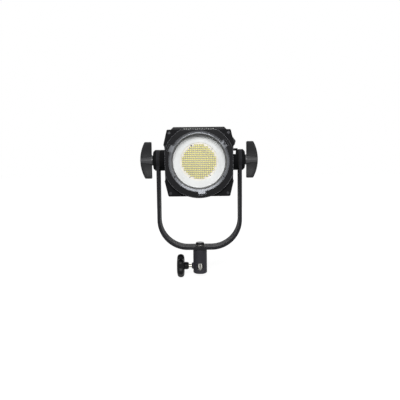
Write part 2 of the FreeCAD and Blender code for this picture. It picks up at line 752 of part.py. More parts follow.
def fan_blade():
    """Pitched blade, lofted from a steep root to a flatter tip."""
    mid = FAN_Y + 11.0
    wires = []
    for radius, chord, rise in ((FAN_HUB_R - 2.5, 10.0, 7.0), (FAN_BORE_R - 2.8, 20.0, 5.0)):
        a, b, t = chord / 2, rise, 0.8
        corners = [(-a, mid - b), (a, mid + b), (a, mid + b + t * 2), (-a, mid - b + t * 2)]
        points = [V(x, y, radius) for x, y in corners]
        wires.append(Part.makePolygon(points + [points[0]]))
    return Part.makeLoft(wires, True, True)


def fan_rotor():
    rotor = cylinder(FAN_HUB_R - 1.0, FAN_T - 6.5, V(0, FAN_Y + 2.0, 0), Y_AXIS)
    for i in range(FAN_BLADES):
        blade = fan_blade()
        blade.rotate(V(0, 0, 0), Y_AXIS, 360.0 * i / FAN_BLADES)
        rotor = rotor.fuse(blade)
    shaft_y = FAN_Y + FAN_T - 12.0
    rotor = drill(rotor, 2.0 + RUNNING, 12.0, V(0, shaft_y, 0), Y_AXIS)
    return in_head(rotor.removeSplitter())


# Housing


def vent_slots(wall_x):
    """Cutters for the upright slots in a flank, ahead of and behind the pivot."""
    slots = []
    for first in (VENT_FRONT_Y, VENT_REAR_Y):
        for i in range(VENT_COUNT):
            y = first + i * VENT_PITCH
            slots.append(block(wall_x - 6, wall_x + 2, y, y + VENT_W, VENT_LOW, VENT_HIGH))
    return slots


def top_slots(z0, z1):
    slots = []
    first = HOUSING_Y + 16.0
    for i in range(TOP_SLOTS):
        y = first + i * TOP_PITCH
        slots.append(block(-TOP_SLOT_L / 2, TOP_SLOT_L / 2, y, y + TOP_SLOT_W, z0, z1))
    return slots


def housing():
    """Barrel-shaped tube between the bezel and the rear panel, with screw bosses."""
    wall_in = BODY_INSET + WALL
    body = slab(BODY_INSET, HOUSING_Y, BACK_Y)
    body = body.cut(slab(wall_in, HOUSING_Y, BACK_Y))
    inside = slab(wall_in - 0.5, HOUSING_Y, BACK_Y)
    for x, z, _ in bezel_screw_spots():
        front = cylinder(BOSS_R, BOSS_L, V(x, HOUSING_Y, z), Y_AXIS)
        rear = cylinder(BOSS_R, BOSS_L, V(x, BACK_Y - BOSS_L, z), Y_AXIS)
        for boss in (front, rear):
            body = body.fuse(boss.common(inside))
        body = drill(body, SCREW_R + RUNNING, BOSS_L, V(x, HOUSING_Y, z), Y_AXIS)
        body = drill(body, SCREW_R + RUNNING, BOSS_L, V(x, BACK_Y - BOSS_L, z), Y_AXIS)
    half = ROOF_TOP_HALF - EXHAUST_IN
    first = HOUSING_Y + EXHAUST_FRONT
    opening = block(-half, half, first, first + EXHAUST_L, TOP_Z - BODY_INSET - WALL - 1, TOP_Z)
    body = body.cut(opening)
    for side in (-1, 1):
        for slot in vent_slots(HUB_X):
            body = body.cut(mirrored(slot, side))
        body = drill(body, STUD_R + RUNNING, WALL + 1, V(side * (HUB_X + 1), 0, AXIS_DROP), X_AXIS * -side)
    return body


def housing_half(body, side):
    edge = sorted((0.0, side * (FLANK_HALF + 5)))
    half = block(edge[0], edge[1], HOUSING_Y, BACK_Y, BOTTOM_Z, TOP_Z)
    return in_head(body.common(half).removeSplitter())


def roof_cover():
    """Raised top cover over the exhaust, slotted on top and along its front edge."""
    base = TOP_Z - BODY_INSET
    top = TOP_Z + ROOF_RISE

    def hood(shrink, foot):
        half, upper = ROOF_HALF - shrink, ROOF_TOP_HALF - shrink
        y0 = HOUSING_Y + shrink
        corners = [(-half, foot), (half, foot), (half, base + 3), (upper, top - shrink)]
        corners += [(-upper, top - shrink), (-half, base + 3)]
        return prism([V(x, y0, z) for x, z in corners], V(0, ROOF_L - 2 * shrink, 0))

    cover = hood(0.0, base).cut(hood(ROOF_WALL, base - 1))
    for slot in top_slots(top - ROOF_WALL - 1, top + 1):
        cover = cover.cut(slot)
    for i in range(ROOF_SLOTS):
        x = (i - (ROOF_SLOTS - 1) / 2) * ROOF_PITCH - ROOF_SLOT_W / 2
        front, back = HOUSING_Y - 1, HOUSING_Y + ROOF_WALL + 1
        cover = cover.cut(block(x, x + ROOF_SLOT_W, front, back, base + 2.6, top - 2))
    return in_head(cover.removeSplitter())


# Rear panel


def button_spots():
    return [((i - 1.5) * BUTTON_PITCH, BUTTON_Z) for i in range(4)]


def rear_panel():
    """Bevelled rear plate with a window, holes for the controls and posts for the board."""
    body = slab(BODY_INSET, PANEL_Y, PANEL_FACE)
    rim = [e for e in body.Edges if e.BoundBox.YMin > PANEL_FACE - 0.01]
    body = body.makeChamfer(PANEL_BEVEL, rim)
    for sx in (-1, 1):
        for sz in (-1, 1):
            base = V(sx * (DRIVER_HALF_X - 6), PANEL_Y, sz * (DRIVER_HALF_Z - 5))
            body = body.fuse(cylinder(3.5, STANDOFF_L, base, -Y_AXIS))
    half_w, half_h = SCREEN_W / 2 + PLAY, SCREEN_H / 2 + PLAY
    seat = PANEL_FACE - SCREEN_T
    body = body.cut(block(-half_w, half_w, seat, PANEL_FACE, SCREEN_Z - half_h, SCREEN_Z + half_h))
    for side in (-1, 1):
        body = drill(body, DIAL_SHAFT_R + RUNNING, PANEL_T, V(side * DIAL_X, PANEL_Y, DIAL_Z), Y_AXIS)
    for x, z in button_spots():
        body = drill(body, BUTTON_R + RUNNING, PANEL_T, V(x, PANEL_Y, z), Y_AXIS)
    half_w, half_h = SWITCH_W / 2, SWITCH_H / 2
    body = body.cut(block(-half_w, half_w, PANEL_Y, PANEL_FACE, DIAL_Z - half_h, DIAL_Z + half_h))
    reach = half_w + TRUNNION_L + 0.1
    body = drill(body, TRUNNION_R + RUNNING, 2 * reach, V(-reach, trunnion_y(), DIAL_Z), X_AXIS)
    body = drill(body, INLET_R - 2.0, PANEL_T, V(0, PANEL_Y, PORT_Z), Y_AXIS)
    for x in (-PORT_X, PORT_X):
        half_w, half_h = PORT_W / 2, PORT_H / 2
        seat = block(x - half_w, x + half_w, PANEL_Y, PANEL_FACE, PORT_Z - half_h, PORT_Z + half_h)
        body = body.cut(seat)
    for x, z, y in bezel_screw_spots():
        body = drill(body, SCREW_HEAD_R + RUNNING, PANEL_BEVEL, V(x, PANEL_FACE, z), -Y_AXIS)
        body = drill(body, SCREW_R + RUNNING, PANEL_T, V(x, PANEL_Y, z), Y_AXIS)
    return in_head(body.removeSplitter())


def display_window():
    half_w, half_h = SCREEN_W / 2, SCREEN_H / 2
    low, high = SCREEN_Z - half_h, SCREEN_Z + half_h
    return in_head(block(-half_w, half_w, PANEL_FACE - SCREEN_T, PANEL_FACE, low, high))


def dial(side):
    """Ribbed dial on a shaft that runs in the panel."""
    face = PANEL_FACE + 0.4
    centre = V(side * DIAL_X, face, DIAL_Z)
    knob = cylinder(DIAL_R, DIAL_L, centre, Y_AXIS)
    knob = knob.makeChamfer(1.2, [e for e in knob.Edges if e.BoundBox.YMin > face + DIAL_L - 0.01])
    for i in range(16):
        a = 2 * math.pi * i / 16
        x, z = centre.x + (DIAL_R + 0.4) * math.cos(a), centre.z + (DIAL_R + 0.4) * math.sin(a)
        knob = knob.cut(block(x - 0.7, x + 0.7, face + 2, face + DIAL_L, z - 0.7, z + 0.7))
    tip = face + DIAL_L
    mark = block(centre.x - 0.6, centre.x + 0.6, tip - 0.6, tip, DIAL_Z + 3, DIAL_Z + DIAL_R)
    knob = knob.cut(mark)
    shaft = cylinder(DIAL_SHAFT_R, PANEL_T + 2.4, centre, -Y_AXIS)
    collar = cylinder(DIAL_SHAFT_R + 1.5, 1.2, V(centre.x, PANEL_Y - 0.4, centre.z), -Y_AXIS)
    return in_head(knob.fuse([shaft, collar]).removeSplitter())


def button(x, z):
    cap = cylinder(BUTTON_R, PANEL_T + BUTTON_PROUD, V(x, PANEL_Y, z), Y_AXIS)
    cap = cap.makeChamfer(0.5, [e for e in cap.Edges if e.BoundBox.YMin > PANEL_FACE + BUTTON_PROUD - 0.01])
    flange = cylinder(BUTTON_R + 1.0, 1.0, V(x, PANEL_Y - 0.1, z), -Y_AXIS)
    stem = cylinder(BUTTON_R, 0.2, V(x, PANEL_Y - 0.15, z), Y_AXIS)
    return in_head(cap.fuse([flange, stem]).removeSplitter())


def power_rocker():
    """Rocker whose two faces slope to a ridge along its pivot."""
    half_w, half_h = SWITCH_W / 2 - PLAY, SWITCH_H / 2 - 1.2
    face = PANEL_FACE
    section = [
        (face - 3.4, -half_h),
        (face + SWITCH_T, -half_h),
        (face + 1.0, 0.0),
        (face + 0.4, half_h),
        (face - 3.4, half_h),
    ]
    rocker = prism([V(-half_w, y, DIAL_Z + z) for y, z in section], V(2 * half_w, 0, 0))
    reach = SWITCH_W / 2 + TRUNNION_L
    rocker = rocker.fuse(cylinder(TRUNNION_R, 2 * reach, V(-reach, trunnion_y(), DIAL_Z), X_AXIS))
    return in_head(rocker.removeSplitter())


def trunnion_y():
    return PANEL_FACE - PANEL_T / 2


def power_inlet():
    """Round screw-lock inlet with a keyway and three pins."""
    body = ring(INLET_R, INLET_R - 4.5, INLET_PROUD, V(0, PANEL_FACE, PORT_Z), Y_AXIS)
    seat = cylinder(INLET_R - 2.3, PANEL_T + PORT_DEPTH, V(0, PANEL_Y - PORT_DEPTH, PORT_Z), Y_AXIS)
    body = body.fuse(seat)
    tip = PANEL_FACE + INLET_PROUD - 1.0
    body = body.fuse(block(-1.2, 1.2, PANEL_FACE, tip, PORT_Z + 5.0, PORT_Z + 7.0))
    for i in range(3):
        a = math.radians(90 + 120 * i)
        pin = V(3.2 * math.cos(a), PANEL_FACE, PORT_Z + 3.2 * math.sin(a) - 0.6)
        body = body.fuse(cylinder(0.9, INLET_PROUD - 1.5, pin, Y_AXIS))
    return in_head(body.removeSplitter())


def data_port(x):
    """Rectangular socket block set into the panel."""
    half_w, half_h = PORT_W / 2 - PLAY, PORT_H / 2 - PLAY
    back, front = PANEL_Y - PORT_DEPTH, PANEL_FACE - 0.5
    body = block(x - half_w, x + half_w, back, front, PORT_Z - half_h, PORT_Z + half_h)
    in_w, in_h = half_w - PORT_WALL, half_h - PORT_WALL
    mouth = block(x - in_w, x + in_w, back + PORT_WALL, PANEL_FACE, PORT_Z - in_h, PORT_Z + in_h)
    return in_head(body.cut(mouth))


def driver_board():
    """Control board on the panel's posts with its tall parts on the far side."""
    y = PANEL_Y - STANDOFF_L
    board = block(-DRIVER_HALF_X, DRIVER_HALF_X, y - DRIVER_T, y, -DRIVER_HALF_Z, DRIVER_HALF_Z)
    unit = DRIVER_HALF_X / 12
    for x, z, r in ((-7, 4.5, 2), (-2.5, 4.5, 2), (6, 5, 1.5), (7.5, -4, 2.25)):
        board = board.fuse(cylinder(r * unit, 3 * unit, V(x * unit, y - DRIVER_T, z * unit), -Y_AXIS))
    top = y - DRIVER_T
    board = board.fuse(block(-8.5 * unit, 0, top - 2.5 * unit, top, -7.5 * unit, -2 * unit))
    return in_head(board.removeSplitter())


def save_yoke():
    save("stand_receiver", stand_receiver())
    save("receiver_liner", receiver_liner())
    save("yoke_bolt", yoke_bolt())
    save("yoke_washer", yoke_washer())
    save("clamp_screw", clamp_screw())
    save("clamp_knob", star_knob())
    save("yoke_bracket", yoke_bracket())
    for name, side in SIDES:
        save("arm_cap_" + name, arm_cap(side))
        save("tilt_handle_" + name, t_handle(side))
        save("tilt_stud_" + name, tilt_stud(side))
        save("side_plate_" + name, side_plate(side))
        save("tilt_hub_" + name, tilt_hub(side, name == "right"))
        save("friction_ring_" + name, friction_ring(side))


def save_front():
    save("mount_ring", mount_ring())
    save("bayonet_plate", bayonet_plate())
    save("lock_pin", lock_pin())
    save("release_lever", release_lever())
    save("front_bezel", front_bezel())
    save("well_tube", well_tube())
    save("baffle_disc", baffle_disc())
    save("led_board", led_board())
    save("led_array", led_array())
    screws = [small_screw(x, z, y, SCREW_L, -1) for x, z, y in bezel_screw_spots()]
    save("bezel_screws", Part.makeCompound(screws))


def save_housing():
    save("heat_spreader", heat_spreader())
    save("heat_sink", heat_sink())
    save("heat_pipes", Part.makeCompound(heat_pipes()))
    save("fan_frame", fan_frame())
    save("fan_rotor", fan_rotor())
    body = housing()
    for name, side in SIDES:
        save("housing_" + name, housing_half(body, side))
    save("roof_cover", roof_cover())


def save_rear():
    save("rear_panel", rear_panel())
    save("display_window", display_window())
    for name, side in SIDES:
        save("dial_" + name, dial(side))
    for i, (x, z) in enumerate(button_spots()):
        save("button_%d" % (i + 1), button(x, z))
    save("power_rocker", power_rocker())
    save("power_inlet", power_inlet())
    save("data_port", data_port(PORT_X))
    save("service_port", data_port(-PORT_X))
    save("driver_board", driver_board())
    spots = bezel_screw_spots()
    head = PANEL_FACE - PANEL_BEVEL + SCREW_HEAD_H
    screws = [small_screw(x, z, head, REAR_SCREW_L, 1) for x, z, _ in spots]
    save("rear_screws", Part.makeCompound(screws))


os.makedirs("parts", exist_ok=True)
save_yoke()
save_front()
save_housing()
save_rear()
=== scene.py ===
import math
import bmesh
import bpy
import numpy as np
from mathutils import Euler, Matrix, Vector


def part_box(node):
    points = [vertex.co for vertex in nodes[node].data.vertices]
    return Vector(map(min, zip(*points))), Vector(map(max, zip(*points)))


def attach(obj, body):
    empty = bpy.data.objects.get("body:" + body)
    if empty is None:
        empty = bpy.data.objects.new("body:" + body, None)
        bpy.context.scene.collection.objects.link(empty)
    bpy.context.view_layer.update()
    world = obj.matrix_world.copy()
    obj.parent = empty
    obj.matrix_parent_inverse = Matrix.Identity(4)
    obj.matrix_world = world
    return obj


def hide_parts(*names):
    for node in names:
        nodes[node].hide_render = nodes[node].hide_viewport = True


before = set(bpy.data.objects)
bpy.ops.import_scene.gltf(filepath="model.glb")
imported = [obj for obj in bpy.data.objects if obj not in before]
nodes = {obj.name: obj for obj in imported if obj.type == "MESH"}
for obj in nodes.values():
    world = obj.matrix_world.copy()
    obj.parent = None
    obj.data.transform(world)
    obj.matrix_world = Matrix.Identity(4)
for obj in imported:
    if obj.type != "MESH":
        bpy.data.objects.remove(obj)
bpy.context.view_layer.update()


# lowest and highest corners of a solid at rest
def corners(name):
    low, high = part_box(name)
    return np.array(low), np.array(high)


def middle(name, axis):
    low, high = corners(name)
    return (low[axis] + high[axis]) / 2


# heights of the tilt pivot and of the lamp axis, and the rear panel's face, in metres
place = {
    "pivotZ": middle("tilt_handle_right", 2),
    "axisZ": middle("baffle_disc", 2),
    "panelY": corners("rear_panel")[1][1],
}


# Node helpers

def hexLinear(text):
    values = [int(text[i:i + 2], 16) / 255 for i in (1, 3, 5)]
    linear = [v / 12.92 if v <= 0.04045 else ((v + 0.055) / 1.055) ** 2.4 for v in values]
    return (*linear, 1.0)


def addNode(tree, kind, inputs=None, **settings):
    node = tree.nodes.new(kind)
    for key, value in settings.items():
        setattr(node, key, value)
    for key, value in (inputs or {}).items():
        if isinstance(value, bpy.types.NodeSocket):
            tree.links.new(value, node.inputs[key])
        else:
            node.inputs[key].default_value = value
    return node


def startMaterial(name):
    mat = bpy.data.materials.new(name)
    mat.use_nodes = True
    tree = mat.node_tree
    tree.nodes.clear()
    output = addNode(tree, "ShaderNodeOutputMaterial")
    shader = addNode(tree, "ShaderNodeBsdfPrincipled")
    tree.links.new(shader.outputs[0], output.inputs["Surface"])
    coords = addNode(tree, "ShaderNodeTexCoord")
    return mat, tree, shader, coords.outputs["Object"]


# noise whose grains are about sizeMm across
def noise(tree, coords, sizeMm, detail=3.0, stretch=(1, 1, 1)):
    scaled = addNode(tree, "ShaderNodeMapping", {"Vector": coords, "Scale": stretch})
    inputs = {"Vector": scaled.outputs[0], "Scale": 1000 / sizeMm, "Detail": detail}
    return addNode(tree, "ShaderNodeTexNoise", inputs).outputs["Fac"]


def ramp(tree, fac, stops):
    node = addNode(tree, "ShaderNodeValToRGB", {"Fac": fac})
    elements = node.color_ramp.elements
    while len(elements) < len(stops):
        elements.new(0.5)
    for element, (position, colour) in zip(elements, stops):
        element.position = position
        element.color = hexLinear(colour)
    return node.outputs["Color"]


def span(tree, value, low, high, start=0.3, end=0.7):
    inputs = {"Value": value, "From Min": start, "From Max": end, "To Min": low, "To Max": high}
    return addNode(tree, "ShaderNodeMapRange", inputs).outputs[0]


def blendColour(tree, fac, first, second):
    node = addNode(tree, "ShaderNodeMix", {0: fac}, data_type="RGBA")
    for socket, value in ((node.inputs[6], first), (node.inputs[7], second)):
        if isinstance(value, bpy.types.NodeSocket):
            tree.links.new(value, socket)
        else:
            socket.default_value = value
    return node.outputs[2]


def vectorMath(tree, operation, first, second=None):
    inputs = {0: first} if second is None else {0: first, 1: second}
    return addNode(tree, "ShaderNodeVectorMath", inputs, operation=operation)


def roundedEdge(tree, radiusMm):
    return addNode(tree, "ShaderNodeBevel", {"Radius": radiusMm / 1000}, samples=4).outputs[0]


# 0 on flat faces and 1 on an outer or inner edge, from how far the rounded normal leans away
def edgeMask(tree, rounded):
    flat = addNode(tree, "ShaderNodeNewGeometry").outputs["Normal"]
    agree = vectorMath(tree, "DOT_PRODUCT", rounded, flat).outputs["Value"]
    flatFrom, edgeFrom = 0.995, 0.80
    return span(tree, agree, 0.0, 1.0, flatFrom, edgeFrom)


def bumpOn(tree, shader, height, depthMm, rounded):
    inputs = {"Height": height, "Distance": depthMm / 1000, "Strength": 1.0, "Normal": rounded}
    tree.links.new(addNode(tree, "ShaderNodeBump", inputs).outputs[0], shader.inputs["Normal"])


# Finishes

# Paint, powder or moulded plastic: patches of two near tones, fine grain under the light, and a lighter
# tone along the edges. On most finishes that tone is rubbed wear; on the ring and the roof cover it is a
# painted highlight along the edge.
def coated(name, dark, light, edgeWearAndHighlight, rough, specular, grainMm, depthMm, edgeMm=0.5, patchMm=35.0):
    mat, tree, shader, coords = startMaterial(name)
    grain = noise(tree, coords, grainMm, 2.0)
    patches = noise(tree, coords, patchMm, 4.0)
    rounded = roundedEdge(tree, edgeMm)
    tone = ramp(tree, patches, [(0.35, dark), (0.65, light)])
    # edges take the edge tone: rubbed wear, and a painted edge highlight where that tone is pale
    tone = blendColour(tree, edgeMask(tree, rounded), tone, hexLinear(edgeWearAndHighlight))
    tree.links.new(tone, shader.inputs["Base Color"])
    tree.links.new(span(tree, patches, rough - 0.05, rough + 0.05), shader.inputs["Roughness"])
    bumpOn(tree, shader, grain, depthMm, rounded)
    shader.inputs["Specular IOR Level"].default_value = specular
    return mat


# Bare metal with tool lines along one axis and faint smears of handling.
def brushed(name, dark, light, rough, stretch, lineMm=0.5, edgeMm=0.3):
    mat, tree, shader, coords = startMaterial(name)
    lines = noise(tree, coords, lineMm, 3.0, stretch)
    smears = noise(tree, coords, 12.0, 3.0)
    tree.links.new(ramp(tree, lines, [(0.3, dark), (0.7, light)]), shader.inputs["Base Color"])
    tree.links.new(span(tree, smears, rough - 0.06, rough + 0.08), shader.inputs["Roughness"])
    bumpOn(tree, shader, lines, 0.03, roundedEdge(tree, edgeMm))
    shader.inputs["Metallic"].default_value = 1.0
    return mat


# Clear anodised aluminium turned on a lathe: fine rings about the lamp axis, which spread the
# softbox's reflection above and below the opening more than at its sides.
def turnedPlate(name, dark, light, rough, pitchMm=0.4):
    mat, tree, shader, coords = startMaterial(name)
    arm = vectorMath(tree, "SUBTRACT", coords, (0, 0, place["axisZ"])).outputs[0]
    arm = vectorMath(tree, "MULTIPLY", arm, (1, 0, 1)).outputs[0]
    radius = vectorMath(tree, "LENGTH", arm).outputs["Value"]
    rings = addNode(tree, "ShaderNodeTexNoise", {"W": radius, "Scale": 1000 / pitchMm, "Detail": 2.0},
                    noise_dimensions="1D").outputs["Fac"]
    smears = noise(tree, coords, 14.0, 3.0)
    tree.links.new(ramp(tree, rings, [(0.3, dark), (0.7, light)]), shader.inputs["Base Color"])
    tree.links.new(span(tree, smears, rough - 0.05, rough + 0.05), shader.inputs["Roughness"])
    tree.links.new(vectorMath(tree, "NORMALIZE", arm).outputs[0], shader.inputs["Tangent"])
    bumpOn(tree, shader, rings, 0.001, roundedEdge(tree, 0.3))
    shader.inputs["Metallic"].default_value = 1.0
    shader.inputs["Anisotropic"].default_value = 0.92
    return mat


# Phosphor in silicone over each chip: warm yellow, mottled, with a soft gloss.
def phosphor():
    mat, tree, shader, coords = startMaterial("yellow phosphor gel")
    mottle = noise(tree, coords, 1.3, 3.0)
    colour = ramp(tree, mottle, [(0.3, "#eee67e"), (0.7, "#faf69a")])
    tree.links.new(colour, shader.inputs["Base Color"])
    tree.links.new(span(tree, mottle, 0.38, 0.50), shader.inputs["Roughness"])
    return mat


# Smoked acrylic over a dark display: nearly black, glossy, with a trace of finger film.
def smokedWindow():
    mat, tree, shader, coords = startMaterial("smoked acrylic window")
    film = noise(tree, coords, 18.0, 4.0)
    tree.links.new(ramp(tree, film, [(0.4, "#07080a"), (0.6, "#0c0e12")]), shader.inputs["Base Color"])
    tree.links.new(span(tree, film, 0.06, 0.14), shader.inputs["Roughness"])
    shader.inputs["Coat Weight"].default_value = 0.6
    return mat


mats = {
    "cast": coated("semi-matt black powder coat",
                   "#0e0e10", "#121214", "#28282c", 0.68, 0.08, 0.5, 0.03),
    "shell": coated("textured black powder coat",
                    "#18181a", "#1f1f22", "#3c3c40", 0.55, 0.40, 0.9, 0.06, 0.6),
    # the ring's pale grey edge tone is a painted highlight along its outer edge
    "ring": coated("matt black anodised aluminium",
                   "#101012", "#141416", "#9a9aa0", 0.55, 0.10, 0.3, 0.006, 1.4),
    "hub": coated("matt black glass-filled nylon",
                  "#09090a", "#0c0c0e", "#161618", 0.66, 0.06, 0.4, 0.02, 0.8),
    "yoke": coated("textured grey-black powder coat",
                   "#242427", "#2b2b2e", "#404044", 0.66, 0.10, 0.6, 0.06, 0.6),
    "receiver": coated("coarse grey-black powder coat",
                       "#2a292e", "#3c3b41", "#4a494e", 0.62, 0.22, 0.9, 0.12, 0.7),
    "plastic": coated("matt moulded black plastic",
                      "#131316", "#18181b", "#27272a", 0.60, 0.30, 0.3, 0.015),
    # the pale grey edge tone is a painted highlight along the roof cover's edges
    "roof": coated("moulded black plastic, painted grey edge highlight",
                   "#131316", "#18181b", "#6c6c70", 0.60, 0.25, 0.3, 0.015, 0.8),
    # a lighter, glossier copy of the grip's nylon: the stem's lighter tone is a painted highlight along
    # the stem
    "stem": coated("black nylon, lighter copy for painted stem highlight", "#1c1c1f", "#212124", "#303033", 0.34, 0.62, 0.25, 0.002, 0.8),
    "grip": coated("satin black nylon", "#121214", "#161618", "#262629", 0.34, 0.20, 0.25, 0.002, 0.8),
    "knob": coated("matt black nylon", "#0c0c0e", "#101012", "#1e1e21", 0.42, 0.14, 0.25, 0.002, 0.8),
    "well": coated("dark grey inner paint", "#3c3c40", "#46464a", "#5a5a5e", 0.50, 0.40, 0.4, 0.01),
    "white": coated("matt white reflector paint",
                    "#eef0ef", "#f6f8f7", "#fafbfa", 0.60, 0.30, 0.5, 0.008),
    "mask": coated("white solder mask", "#ece7da", "#f3efe2", "#f6f2e6", 0.40, 0.40, 0.6, 0.004),
    "substrate": coated("grey-mauve substrate",
                        "#8d8596", "#9c94a4", "#a49cac", 0.45, 0.30, 0.5, 0.006),
    "fibre": coated("dark fibre washer", "#1c1b1a", "#2a2826", "#3a3735", 0.80, 0.20, 0.5, 0.05),
    "pad": coated("blue-black solder pad", "#232c4c", "#323a58", "#3c4460", 0.40, 0.40, 0.4, 0.004),
    "board": coated("green circuit board", "#123a22", "#1a4a2c", "#2a5a3c", 0.40, 0.40, 0.8, 0.01),
    "print": coated("pale grey pad print",
                    "#b9babb", "#c8c9ca", "#d0d1d2", 0.55, 0.30, 0.3, 0.004, 0.1),
    "plate": turnedPlate("turned clear anodised aluminium", "#74767a", "#84868a", 0.34),
    "steel": brushed("zinc plated steel", "#a9a8a3", "#c9c8c3", 0.28, (1, 1, 0.1)),
    "shank": brushed("zinc plated steel screw", "#9d9a90", "#bdbab0", 0.34, (0.08, 1, 1)),
    "darkSteel": brushed("blackened steel", "#2a2a2c", "#3a3a3c", 0.42, (1, 1, 0.1)),
    "fin": brushed("bare aluminium fins", "#9fa1a4", "#b5b7ba", 0.35, (1, 0.05, 1)),
    "wire": coated("pale grey coated wire cloth",
                   "#e2e4de", "#eceee8", "#eceee8", 0.50, 0.40, 0.3, 0.004, 0.05),
    "darkWire": coated("black enamelled wire cloth",
                       "#1b1b1d", "#232325", "#2c2c2e", 0.50, 0.40, 0.3, 0.004, 0.05),
    "brass": brushed("gold flashed brass", "#c9a24e", "#dcb968", 0.30, (1, 0.1, 1)),
    "copper": brushed("drawn copper", "#b0704f", "#c98862", 0.30, (0.05, 1, 1)),
    "phosphor": phosphor(),
    "window": smokedWindow(),
}

finishes = {
    "cast": ["front_bezel"],
    "shell": ["housing_left", "housing_right"],
    "hub": ["arm_cap_left", "arm_cap_right", "tilt_hub_left", "tilt_hub_right"],
    "ring": ["mount_ring"],
    "yoke": ["yoke_bracket"],
    "receiver": ["stand_receiver"],
    "roof": ["roof_cover"],
    "plastic": ["rear_panel", "fan_frame", "fan_rotor", "release_lever", "power_inlet",
                "power_rocker", "dial_left", "dial_right", "button_1", "button_2", "button_3", "button_4"],
    "grip": ["tilt_handle_left", "tilt_handle_right", "clamp_knob"],
    "well": ["well_tube"],
    "white": ["baffle_disc"],
    "mask": ["led_board"],
    "substrate": ["led_array"],
    "fibre": ["friction_ring_left", "friction_ring_right"],
    "board": ["driver_board"],
    "plate": ["bayonet_plate"],
    "steel": ["receiver_liner", "yoke_washer", "tilt_stud_left", "tilt_stud_right", "side_plate_left",
              "side_plate_right", "data_port", "service_port"],
    "shank": ["clamp_screw"],
    "darkSteel": ["bezel_screws", "rear_screws", "yoke_bolt", "lock_pin"],
    "fin": ["heat_sink", "heat_spreader"],
    "copper": ["heat_pipes"],
    "window": ["display_window"],
}
for finish, names in finishes.items():
    for name in names:
        slots = nodes[name].data.materials
        if len(slots) == 0:
            slots.append(mats[finish])
        for slot in nodes[name].material_slots:
            slot.link = "OBJECT"
            slot.material = mats[finish]
print("finishes on the solids")


# Surface helpers

# quads between neighbouring rows and columns of a grid of points
def gridFaces(rows, cols, closed=True):
    r, c = np.meshgrid(np.arange(rows - 1), np.arange(cols if closed else cols - 1), indexing="ij")
    n = (c + 1) % cols
    quads = [r * cols + c, r * cols + n, (r + 1) * cols + n, (r + 1) * cols + c]
    return np.stack(quads, axis=-1).reshape(-1, 4)


# triangles from one round row of a grid to a point in its middle
def fan(first, cols, apex):
    c = np.arange(cols)
    return np.stack([first + c, first + (c + 1) % cols, np.full(cols, apex)], axis=-1)


def addPiece(name, points, faces, finish, slotName, body, smooth=True):
    mesh = bpy.data.meshes.new(name)
    mesh.from_pydata(np.asarray(points).reshape(-1, 3).tolist(), [], faces)
    mesh.validate()
    shell = bmesh.new()
    shell.from_mesh(mesh)
    bmesh.ops.recalc_face_normals(shell, faces=shell.faces)
    shell.to_mesh(mesh)
    shell.free()
    if smooth:
        mesh.shade_smooth()
    mesh.materials.append(mats[finish])
    obj = bpy.data.objects.new(name, mesh)
    bpy.context.collection.objects.link(obj)
    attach(obj, body)
    return obj


# a closed skin: the grid's rows are rings, and a fan closes the first and the last of them
def addSkin(name, grid, finish, slotName, body):
    rows, cols = grid.shape[:2]
    count = rows * cols
    points = np.vstack([grid.reshape(-1, 3), grid[0].mean(axis=0), grid[-1].mean(axis=0)])
    faces = gridFaces(rows, cols).tolist()
    faces += fan(0, cols, count).tolist()
    faces += fan(count - cols, cols, count + 1).tolist()
    return addPiece(name, points, faces, finish, slotName, body)


# boxes from arrays of lowest and highest corners
def boxes(lows, highs):
    pick = np.array([[x, y, z] for x in (0, 1) for y in (0, 1) for z in (0, 1)])
    points = np.where(pick[None, :, :] == 0, lows[:, None, :], highs[:, None, :])
    sides = np.array([(0, 1, 3, 2), (4, 6, 7, 5), (0, 4, 5, 1), (2, 3, 7, 6), (0, 2, 6, 4), (1, 5, 7, 3)])
    faces = sides[None] + 8 * np.arange(len(lows))[:, None, None]
    return points.reshape(-1, 3), faces.reshape(-1, 4).tolist()


# straight round rods: the same small circle, square to the run, at both ends of each
def rods(starts, ends, radius, sides=6):
    run = ends - starts
    run = run / np.linalg.norm(run, axis=1, keepdims=True)
    spare = np.where(np.abs(run[:, 2:3]) < 0.9, [[0.0, 0.0, 1.0]], [[1.0, 0.0, 0.0]])
    across = np.cross(run, spare)
    across = across / np.linalg.norm(across, axis=1, keepdims=True)
    up = np.cross(run, across)
    angles = np.linspace(0, 2 * math.pi, sides, endpoint=False)[None, :, None]
    circle = radius * (np.cos(angles) * across[:, None] + np.sin(angles) * up[:, None])
    points = np.stack([starts[:, None] + circle, ends[:, None] + circle], axis=1)
    each = 2 * sides * np.arange(len(starts))
    walls = gridFaces(2, sides)[None] + each[:, None, None]
    caps = np.arange(sides)[None] + np.concatenate([each, each + sides])[:, None]
    return points.reshape(-1, 3), walls.reshape(-1, 4).tolist() + caps.tolist()


# rings about the X axis through height z, from rows of place along X and radius
def turnedAboutX(xs, radii, z, turns):
    xs, radii = np.array(xs)[:, None], np.array(radii)[:, None]
    parts = [xs + 0 * turns, radii * np.cos(turns), z + radii * np.sin(turns)]
    return np.stack(parts, axis=-1)


# Star clamp knob

# the hub's steps are distances along it paired with how far its radius draws in or flares out
knob = {"lobes": 6, "dip": 0.0052, "thick": 0.0168, "sharpness": 0.55, "faceFlat": 0.85,
        "edgeRound": 0.62, "flatRadius": 0.0150, "hubRadius": 0.0087,
        "hubEnd": [(0.0, 0.0020), (0.0004, 0.0016), (0.0034, 0.0)],
        "hubFoot": [(0.0012, 0.0), (0.0003, 0.0006), (0.0, 0.0020)],
        "dish": 0.0016, "dishSet": 0.0001, "dishRadius": 0.0105, "dishLip": 0.0015,
        "dishCore": 0.0040, "rows": 21, "around": 192}


